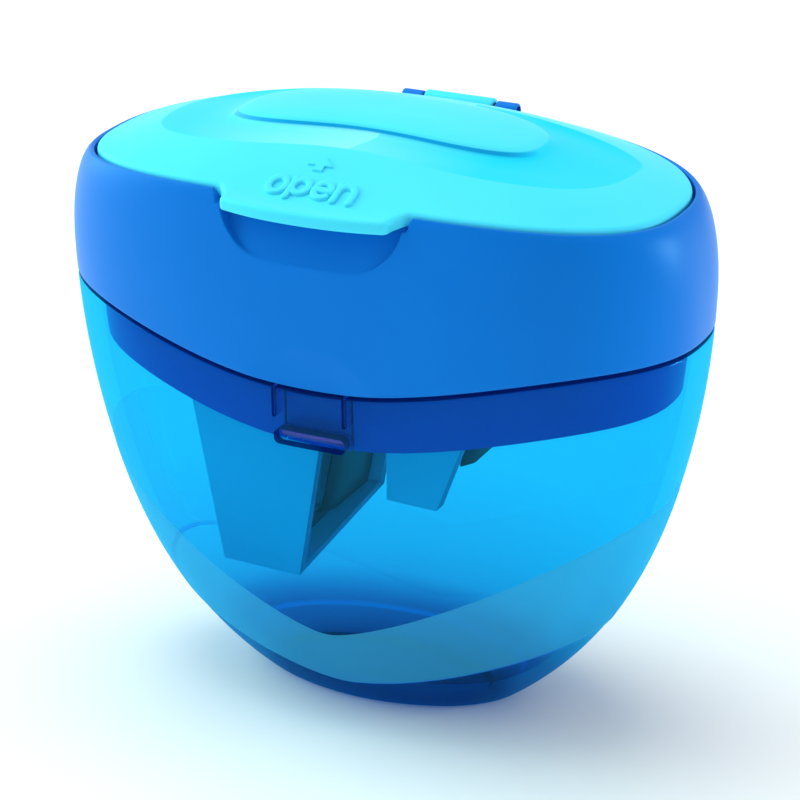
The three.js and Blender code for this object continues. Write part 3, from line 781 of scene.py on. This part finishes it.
def build_housing():
    """The blue casing: outer wall with scoop and dimple, the lid's seat and the inner wall."""
    angles = housing_angles()

    def outer(z, sag=0.0, inset=0.0, lift=0.0):
        height = lambda x: z + sag * rim_sag(x) + lift * seam_lift(x)
        return body_ring(angles, height, inset, sag)

    seam = SEAM_Z + GAP / 2
    rings = []
    for turn in np.linspace(0, 1, 4):
        angle = turn * np.pi / 2
        z = seam + SEAM_ROUND * (1 - math.cos(angle))
        rings.append(outer(z, inset=SEAM_ROUND * (1 - math.sin(angle)), lift=1.0))
    for t in np.linspace(0, 1, 40)[1:]:
        z = seam + SEAM_ROUND + (TURN_Z - seam - SEAM_ROUND) * t
        rings.append(outer(z, sag=TURN_SAG * t, lift=(1 - t)))
    for t in np.linspace(0, 1, 54)[1:]:
        z = TURN_Z + (RIM_Z - RIM_LIP - TURN_Z) * t
        rings.append(outer(z, sag=TURN_SAG + (1 - TURN_SAG) * t))
    for ring in rings:
        ring[:, 1] += dimple(ring) * (ring[:, 1] < 0)
    rim = []
    top_in = lip_ring(angles, 0.0, RIM_Z)
    last = rings[-1]
    for t in np.linspace(0, 1, 7)[1:]:
        mid = last * (1 - t) + top_in * t
        mid[:, 2] = last[:, 2] * (1 - t) ** 2 + top_in[:, 2] * (1 - (1 - t) ** 2) - 0.18 * t * t
        rim.append(mid)
    for z in np.linspace(RIM_Z - 0.5, LEDGE_Z, 8):
        rim.append(lip_ring(angles, 0.0, z))
    for step in (0.4, 0.8, 1.2, 1.45):
        rim.append(lip_ring(angles, step, LEDGE_Z))
    rings = [scooped(ring) for ring in rings]
    rim = [tab_cleared(scooped(ring)) for ring in rim]
    rings = [tab_cleared(ring) for ring in rings] + rim
    for z in (LEDGE_Z - 0.1, LEDGE_Z - 0.7, LEDGE_Z - 1.3):
        rings.append(tab_cleared(lip_ring(angles, 1.5, z)))
    for z, sag in ((50.0, 0.8), (48.6, 0.5), (TURN_Z, TURN_SAG), (WAIST_Z, 0)):
        rings.append(backed(outer(z, sag, WALL)))
    for t in np.linspace(0, 1, 10)[1:]:
        rings.append(outer(WAIST_Z + (seam - WAIST_Z) * t, 0, WALL, t))
    points, faces = loft_mesh(rings, wrap=True)
    housing = add_mesh("housing_casing", points, faces)
    notch = BARREL_HALF_LENGTH + GAP
    boolean(housing, box_object("notch", (-notch, HINGE_Y - 4, LEDGE_Z), (notch, 22, 60)))
    finish_piece(housing, "housing", HOUSING_PLASTIC, "housing_plastic", 50)
    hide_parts("housing_shell")
    return housing


def tab_cleared(ring):
    """Lowers the rim where the lid's tab crosses it, following the tab's flared root."""
    x, y, z = ring[:, 0], ring[:, 1], ring[:, 2]
    flare = tab_flare(40)[::-1]
    half_gap = np.interp(y, flare[:, 1], flare[:, 0]) + TAB_GAP
    mask = smooth(half_gap + 0.16, half_gap - 0.16, np.abs(x)) * (y < -8)
    lowered = ring.copy()
    over = np.maximum(z - LEDGE_Z, 0) * mask
    lowered[:, 2] -= over
    wanted_y = TAB_SEAT_Y - 0.35 * over
    lowered[:, 1] = np.where(over > 0.001, y * (1 - mask) + np.maximum(y, wanted_y) * mask, y)
    return lowered


def backed(ring):
    """Brings the inner wall in behind the scoop so that the wall stays whole."""
    x, y, z = ring[:, 0], ring[:, 1], ring[:, 2]
    mask = smooth(12.4, 11.6, np.abs(x)) * (y < 0) * smooth(TURN_Z - 0.3, TURN_Z + 0.4, z)
    brought = ring.copy()
    brought[:, 1] = y * (1 - mask) + np.maximum(y, SCOOP_BACKING_Y) * mask
    return brought


# ------------------------------------------------------------------ lid


def lid_top(x, y):
    """Height of the lid's plain outer surface."""
    rho = ((np.abs(x) / LID_HALF_WIDTH) ** LID_SQUARENESS
           + (np.abs(y) / LID_HALF_DEPTH) ** LID_SQUARENESS) ** (1 / LID_SQUARENESS)
    dome = np.minimum(rho, LID_FLARE_FROM)
    beyond = rho - dome
    slope = LID_DOME * LID_DOME_POWER * LID_FLARE_FROM ** (LID_DOME_POWER - 1)
    eased = np.minimum(beyond, (slope - TAB_SLOPE) / (2 * LID_FLARE_EASE))
    fall = slope * eased - LID_FLARE_EASE * eased**2 + TAB_SLOPE * (beyond - eased)
    return RIM_Z + rim_sag(x) + LID_DOME * (1 - dome**LID_DOME_POWER) - fall


def quad_curve(p0, p1, p2, count):
    """Points along a curve from p0 to p2 that leans towards p1."""
    t = np.linspace(0, 1, count)[:, None]
    p0, p1, p2 = map(np.asarray, (p0, p1, p2))
    return p0 * (1 - t) ** 2 + 2 * p1 * t * (1 - t) + p2 * t * t


def tab_flare(count):
    """The tab's side, from its wide root to its front corner."""
    w, root = TAB_HALF_WIDTH, LID_HALF_DEPTH - 1.5
    return quad_curve((w + 2.2, -root), (w + 0.3, -root - 1.7), (w, TAB_CORNER_Y + 0.7), count)


def lid_outline(count):
    """The lid's plan outline: an oval with the thumb tab at its front, evenly spaced."""
    w = TAB_HALF_WIDTH
    half = [
        tab_flare(40),
        quad_curve((w, TAB_CORNER_Y + 0.7), (w, TAB_CORNER_Y), (w - 0.8, TAB_CORNER_Y - 0.15), 16),
        quad_curve((w - 0.8, TAB_CORNER_Y - 0.15), (w / 2, TAB_FRONT_Y - 0.02), (0, TAB_FRONT_Y), 40),
    ]
    path = np.concatenate(half)
    turn = np.arctan2(path[:, 0], -path[:, 1])
    order = np.argsort(turn)
    reach = np.hypot(path[:, 0], path[:, 1])[order]
    turn = turn[order]
    phi = np.linspace(0, 2 * np.pi, 14401)[:-1]
    n = LID_SQUARENESS
    sideways = np.abs(np.cos(phi)) / LID_HALF_WIDTH
    forwards = np.abs(np.sin(phi)) / LID_HALF_DEPTH
    oval = (sideways**n + forwards**n) ** (-1 / n)
    from_front = np.abs((phi - 1.5 * np.pi + np.pi) % (2 * np.pi) - np.pi)
    tab = np.interp(from_front, turn, reach, right=0)
    radius = np.maximum(oval, tab)
    x, y = radius * np.cos(phi), radius * np.sin(phi)
    closed = np.stack([np.append(x, x[0]), np.append(y, y[0])], 1)
    along = np.concatenate([[0], np.cumsum(np.hypot(*np.diff(closed, axis=0).T))])
    at = np.linspace(0, along[-1], count, endpoint=False)
    return np.stack([np.interp(at, along, closed[:, 0]), np.interp(at, along, closed[:, 1])], 1)


def outline_normals(outline):
    """Directions that point out of a plan outline."""
    tangent = np.roll(outline, -3, 0) - np.roll(outline, 3, 0)
    normal = np.stack([tangent[:, 1], -tangent[:, 0]], 1)
    return normal / np.linalg.norm(normal, axis=1)[:, None]


def oval_reach(x, y, oval):
    """1 on an oval's outline and less inside it."""
    dip = oval["dip"] * np.exp(-((x / oval["dip_width"]) ** 2))
    depth = np.where(y < oval["y"], oval["front"], oval["back"])
    towards_front = np.clip((oval["y"] - y) / oval["front"], 0, 1)
    along = (np.abs(y - oval["y"]) + dip * towards_front) / depth
    return ((np.abs(x) / oval["half_width"]) ** oval["n"] + along ** oval["n"]) ** (1 / oval["n"])


# The dish and the island in it: ovals about (0, y) whose front edge dips in the middle.
CRESCENT = {"y": 3.4, "half_width": 23.7, "front": 13.5, "back": 5.6, "n": 2.9, "dip": 1.4, "dip_width": 8.5}
ISLAND = {"y": 0.4, "half_width": 15.35, "front": 5.7, "back": 6.7, "n": 2.9, "dip": 1.0, "dip_width": 8.0}
DISH_DEPTH = 0.5
DISH_SLOPE = 11
ISLAND_RISE = 0.45
ISLAND_SLOPE = 8


def lid_relief(x, y):
    """Height of the moulded dish and raised island above the plain dome."""
    crescent = oval_reach(x, y, CRESCENT)
    island = oval_reach(x, y, ISLAND)
    into_dish = np.clip((1 - crescent) * DISH_SLOPE, 0, None)
    from_island = np.clip((island - 1) * ISLAND_SLOPE, 0, None)
    share = np.clip(into_dish / np.maximum(into_dish + from_island, 1e-6), 0, 1)
    dish = -DISH_DEPTH * np.sin(np.pi * share * 0.75) * (into_dish > 0) * smooth(0.98, 1.06, island)
    return dish + ISLAND_RISE * smooth(1.04, 0.94, island) * (1 - 0.5 * np.clip(island, 0, 1) ** 4)


def build_lid():
    """The lid's cover: underside, rounded edge and domed top with its dish and island."""
    outline = lid_outline(720)
    normals = outline_normals(outline)
    rings = []
    inset = outline - normals * LID_EDGE_BAND

    def ring(plan, z_of):
        return np.stack([plan[:, 0], plan[:, 1], z_of(plan[:, 0], plan[:, 1])], 1)

    underside = lambda x, y: lid_top(x, y) - LID_THICKNESS
    for t in (0.1, 0.3, 0.5, 0.7, 0.85, 1.0):
        rings.append(ring(inset * t, underside))
    rings.append(ring(outline - normals * LID_UNDER_ROUND, underside))
    rings.append(ring(outline - normals * 0.06, lambda x, y: underside(x, y) + 0.07))
    rings.append(ring(outline, lambda x, y: underside(x, y) + LID_UNDER_ROUND))
    side_height = LID_THICKNESS - LID_UNDER_ROUND - LID_EDGE_ROUND
    for t in (0.4, 0.8, 1.0):
        height = lambda x, y, t=t: underside(x, y) + LID_UNDER_ROUND + side_height * t
        rings.append(ring(outline, height))
    for turn in np.linspace(0, 1, 7)[1:]:
        angle = turn * np.pi / 2
        back = LID_EDGE_ROUND * (1 - math.cos(angle))
        drop = LID_EDGE_ROUND * (1 - math.sin(angle))
        rings.append(ring(outline - normals * back, lambda x, y, drop=drop: lid_top(x, y) - drop))
    top = lambda x, y: lid_top(x, y) + lid_relief(x, y)
    for t in np.linspace(1, 0.01, 120):
        rings.append(ring(inset * t, top))
    centre_top = (0, 0, float(top(np.zeros(1), np.zeros(1))[0]))
    centre_under = (0, 0, float(underside(np.zeros(1), np.zeros(1))[0]))
    points, faces = loft_mesh(rings, centre_under, centre_top)
    lid = add_mesh("lid_cover", points, faces)
    x, y, z = np.array(points).T
    underneath = z < lid_top(x, y) - UNDERSIDE_DEPTH
    for name, oval in (("crescent", CRESCENT), ("island", ISLAND)):
        attribute = lid.data.attributes.new(name, "FLOAT", "POINT")
        reach = np.where(underneath, 2.0, oval_reach(x, y, oval))
        attribute.data.foreach_set("value", reach.astype(np.float32))
    for side in (-1, 1):
        x0 = side * (BARREL_HALF_LENGTH + 0.05)
        x1 = side * (BARREL_HALF_LENGTH + EAR_LENGTH + 2 * GAP)
        low = (min(x0, x1), HINGE_Y - EAR_RADIUS - GAP, 50)
        boolean(lid, box_object("ear_space", low, (max(x0, x1), 20, 60)))
    finish_piece(lid, "lid", LID_PLASTIC, "lid_plastic", 50)
    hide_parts("lid")
    return lid


def rod(name, x0, x1, radius, bore, edge, body, material, slot):
    """A round sleeve along the hinge axis with rounded ends."""
    profile = [(x0, bore), (x0, radius - edge)]
    for turn in np.linspace(0.25, 1, 4):
        angle = turn * np.pi / 2
        profile.append((x0 + edge * (1 - math.cos(angle)), radius - edge + edge * math.sin(angle)))
    profile += [(x0 + x1 - x, r) for x, r in reversed(profile)]
    around = 48
    turn = np.linspace(0, 2 * np.pi, around, endpoint=False)
    rings = [
        np.stack([np.full(around, x), HINGE_Y + r * np.cos(turn), HINGE_Z + r * np.sin(turn)], 1)
        for x, r in profile
    ]
    points, faces = loft_mesh(rings, wrap=True)
    obj = add_mesh(name, points, [f[::-1] for f in faces])
    finish_piece(obj, body, material, slot, 50)
    return obj


def build_hinge():
    """The lid's barrel between the housing's two ears."""
    rod("lid_barrel", -BARREL_HALF_LENGTH, BARREL_HALF_LENGTH, BARREL_RADIUS, BORE_RADIUS, 0.2,
        "lid", LID_PLASTIC, "lid_plastic")
    inner = BARREL_HALF_LENGTH + GAP
    for side, name in ((-1, "left"), (1, "right")):
        ends = sorted((side * inner, side * (inner + EAR_LENGTH)))
        rod(f"hinge_ear_{name}", *ends, EAR_RADIUS, BORE_RADIUS, 0.15,
            "housing", HOUSING_PLASTIC, "housing_plastic")


def arc(cx, cy, rx, ry, start, end, count=22):
    """Points along part of an ellipse, from one angle to another in degrees."""
    turn = np.radians(np.linspace(start, end, count))
    return [(cx + rx * math.cos(a), cy + ry * math.sin(a)) for a in turn]


# Strokes of the word in letter units: x-height 1, baseline at 0.
LETTERS = {
    "o": [arc(0.42, 0.5, 0.36, 0.42, 90, 450)],
    "p": [[(0.06, -0.12), (0.06, 0.5), (0.06, 0.94)], arc(0.42, 0.55, 0.35, 0.37, 90, 450)],
    "e": [[(0.1, 0.52), (0.4, 0.52), (0.76, 0.52)], arc(0.42, 0.5, 0.35, 0.41, 0, 315)],
    "n": [[(0.06, 0.02), (0.06, 0.5), (0.06, 0.92)],
          arc(0.4, 0.58, 0.34, 0.34, 180, 0) + [(0.74, 0.3), (0.74, 0.02)]],
}
LETTER_HEIGHT = 2.35
LETTER_ADVANCE = 2.28
LETTER_STROKE = 0.35
WORD_START = (-4.85, -16.25)
LETTER_RISE = 0.34
ARROW = [(-0.6, -12.75), (-1.55, -12.75), (-1.55, -12.05), (-2.35, -12.05), (-1.08, -10.7), (0.2, -12.05),
         (-0.6, -12.05)]
ARROW_MIDDLE = (-1.08, -11.85)
ARROW_RISE = 0.2


def build_lettering():
    """The raised word and arrow that show where to lift."""
    for index, (letter, strokes) in enumerate(LETTERS.items()):
        start = (WORD_START[0] + index * LETTER_ADVANCE, WORD_START[1])
        for number, stroke in enumerate(strokes):
            path = [(start[0] + x * LETTER_HEIGHT, start[1] + y * LETTER_HEIGHT) for x, y in stroke]
            raised_stroke(f"open_{letter}_{number}", path, LETTER_STROKE)
    raised_plate("open_arrow", ARROW)


def raised_stroke(name, path, radius):
    """A rounded stroke lying half sunk in the lid's surface, with round ends."""
    path = np.array(path)
    fine = np.linspace(0, len(path) - 1, 4 * len(path))
    path = np.stack([np.interp(fine, np.arange(len(path)), path[:, i]) for i in (0, 1)], 1)
    along = np.gradient(path, axis=0)
    along /= np.linalg.norm(along, axis=1)[:, None]
    side = np.stack([-along[:, 1], along[:, 0]], 1)
    around = 16
    turn = np.linspace(0, 2 * np.pi, around, endpoint=False)
    steps = [(path[0] - along[0] * radius * (1 - c), side[0], c) for c in (0.02, 0.3, 0.65)]
    steps += [(path[i], side[i], 1.0) for i in range(len(path))]
    steps += [(path[-1] + along[-1] * radius * (1 - c), side[-1], c) for c in (0.65, 0.3, 0.02)]
    rings = []
    for centre, across, c in steps:
        width = radius * math.sqrt(max(0.02, 1 - (1 - c) ** 2))
        across_turn = np.sign(np.cos(turn)) * np.abs(np.cos(turn)) ** 0.5
        up_turn = np.sign(np.sin(turn)) * np.abs(np.sin(turn)) ** 0.5
        plan = centre + across * (width * across_turn)[:, None]
        height = lid_top(plan[:, 0], plan[:, 1]) + lid_relief(plan[:, 0], plan[:, 1])
        rings.append(np.stack([plan[:, 0], plan[:, 1], height + LETTER_RISE * min(1, 0.5 + c) * up_turn], 1))
    points, faces = loft_mesh(rings, rings[0].mean(0), rings[-1].mean(0))
    obj = add_mesh(name, points, faces, "lid", LID_PLASTIC, "lid_plastic", 60)
    consistent_normals(obj)


def raised_plate(name, outline):
    """A flat raised shape with softened edges that follows the lid's surface."""
    outline = np.array(outline, float)
    fine = np.linspace(0, len(outline), 12 * len(outline), endpoint=False)
    closed = np.concatenate([outline, outline[:1]])
    outline = np.stack([np.interp(fine, np.arange(len(closed)), closed[:, i]) for i in (0, 1)], 1)
    centre = np.array(ARROW_MIDDLE)
    rings = []
    sides = [(1.0, -0.2), (1.0, 0.1), (0.97, 0.17)]
    for scale, up in sides + [(scale, ARROW_RISE) for scale in (0.93, 0.8, 0.4, 0.1)]:
        plan = centre + (outline - centre) * scale
        height = lid_top(plan[:, 0], plan[:, 1]) + lid_relief(plan[:, 0], plan[:, 1])
        rings.append(np.stack([plan[:, 0], plan[:, 1], height + up], 1))
    points, faces = loft_mesh(rings, rings[0].mean(0), rings[-1].mean(0))
    obj = add_mesh(name, points, faces, "lid", LID_PLASTIC, "lid_plastic", 40)
    consistent_normals(obj)


def consistent_normals(obj):
    """Turns every face of a closed piece outwards."""
    mesh = bmesh.new()
    mesh.from_mesh(obj.data)
    bmesh.ops.recalc_face_normals(mesh, faces=mesh.faces)
    mesh.to_mesh(obj.data)
    mesh.free()


# ------------------------------------------------------------------ carried-over CAD nodes


WELD_GAP = 0.005


def dress_node(name, material, bevel, angle=35):
    """Keeps a CAD node's shape and gives it softened edges and a finish."""
    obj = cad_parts[name]
    obj.data.materials.clear()
    obj.data.materials.append(material)
    weld = obj.modifiers.new("weld", "WELD")
    weld.merge_threshold = WELD_GAP * MM
    modifier = obj.modifiers.new("soft_edges", "BEVEL")
    modifier.width = bevel * MM
    modifier.segments = 2
    modifier.limit_method = "ANGLE"
    modifier.angle_limit = math.radians(angle)
    for polygon in obj.data.polygons:
        polygon.use_smooth = True
    obj.modifiers.new("smooth_faces", "WEIGHTED_NORMAL")


def dress_nodes():
    """Finishes for the inner frame, latches, sharpeners, blades, screws and hinge pin."""
    for name in ("inner_frame", "front_latch", "rear_latch"):
        dress_node(name, FRAME_PLASTIC, 0.1)
    for size in ("large", "small"):
        dress_node(f"{size}_sharpener_body", SHARPENER_PLASTIC[size], 0.15)
        dress_node(f"{size}_blade", BLADE_STEEL, 0.04)
        dress_node(f"{size}_blade_screw", FASTENER_STEEL, 0.06)
    dress_node("hinge_pin", FASTENER_STEEL, 0.05)


# ------------------------------------------------------------------ stage, light and camera


FLOOR_HALF_SIDE = 2.0
FLOOR_DROP = 0.0001
AMBIENT = 0.6
BACKDROP = 1.05
# Each sun: the direction it stands in, its strength, its spread in degrees and its colour.
SUNS = {
    "key_left": ((-0.95, -0.05, 0.38), 2.8, 60, (0.5, 1.0, 0.97)),
    "top": ((-0.15, 0.1, 1.0), 1.2, 40, (1.0, 1.0, 1.0)),
    "rim_right": ((0.9, 0.5, 0.12), 1.5, 20, (0.6, 0.93, 1.0)),
}


def build_stage():
    """A pale floor and a white studio world that is brighter to look at than it lights."""
    shader = Shader("floor")
    shader.link(
        shader.ramp(shader.noise(scale=6), [(0.3, (0.94, 0.94, 0.94)), (0.7, (0.97, 0.97, 0.97))]),
        shader.bsdf.inputs["Base Color"],
    )
    shader.set(Roughness=0.7)
    mesh = bpy.data.meshes.new("floor")
    side = FLOOR_HALF_SIDE
    corners = [(-side, -side, 0), (side, -side, 0), (side, side, 0), (-side, side, 0)]
    mesh.from_pydata(corners, [], [(0, 1, 2, 3)])
    floor = bpy.data.objects.new("floor", mesh)
    floor.location.z = -FLOOR_DROP
    mesh.materials.append(shader.material)
    bpy.context.scene.collection.objects.link(floor)

    world = bpy.data.worlds.new("studio")
    world.use_nodes = True
    nodes, links = world.node_tree.nodes, world.node_tree.links
    background = nodes["Background"]
    background.inputs["Color"].default_value = (1, 1, 1, 1)
    path = nodes.new("ShaderNodeLightPath")
    strength = nodes.new("ShaderNodeMapRange")
    strength.inputs["To Min"].default_value = AMBIENT
    strength.inputs["To Max"].default_value = BACKDROP
    links.new(path.outputs["Is Camera Ray"], strength.inputs["Value"])
    links.new(strength.outputs["Result"], background.inputs["Strength"])
    bpy.context.scene.world = world


def build_lights():
    """Broad soft suns, so that the pale floor stays even."""
    for name, (towards, strength, spread, colour) in SUNS.items():
        light = bpy.data.lights.new(name, "SUN")
        light.energy = strength
        light.angle = math.radians(spread)
        light.color = colour
        obj = bpy.data.objects.new(name, light)
        obj.rotation_euler = Vector(towards).to_track_quat("Z", "Y").to_euler()
        bpy.context.scene.collection.objects.link(obj)


# The photograph's viewing angle, in radians, and where the camera looks, in millimetres.
AZIMUTH = 0.4493
ELEVATION = 0.3972
CAMERA_DISTANCE = 300.0
SENSOR_WIDTH = 36
LENS = 139.14
MIDDLE_Z = 28
AIM_RIGHT = 1.0382
AIM_UP = 0.9605


def build_camera():
    """A long lens at the photograph's angle, aimed a little right of and above the middle."""
    level_back = Vector((math.sin(AZIMUTH), -math.cos(AZIMUTH), 0))
    back = level_back * math.cos(ELEVATION) + Vector((0, 0, math.sin(ELEVATION)))
    right = Vector((math.cos(AZIMUTH), math.sin(AZIMUTH), 0))
    up = back.cross(right)
    middle = Vector((0, BODY_Y, MIDDLE_Z))
    aim = middle + right * AIM_RIGHT + up * AIM_UP
    camera = bpy.data.cameras.new("camera")
    camera.sensor_width = SENSOR_WIDTH
    camera.lens = LENS
    camera.clip_start = 0.01
    obj = bpy.data.objects.new("camera", camera)
    obj.location = (middle + back * CAMERA_DISTANCE) * MM
    obj.rotation_euler = (aim * MM - obj.location).to_track_quat("-Z", "Y").to_euler()
    bpy.context.scene.collection.objects.link(obj)
    bpy.context.scene.camera = obj


bpy.context.scene.view_settings.view_transform = "Standard"
build_camera()
build_stage()
build_lights()
build_container()
build_housing()
build_lid()
build_hinge()
build_lettering()
dress_nodes()
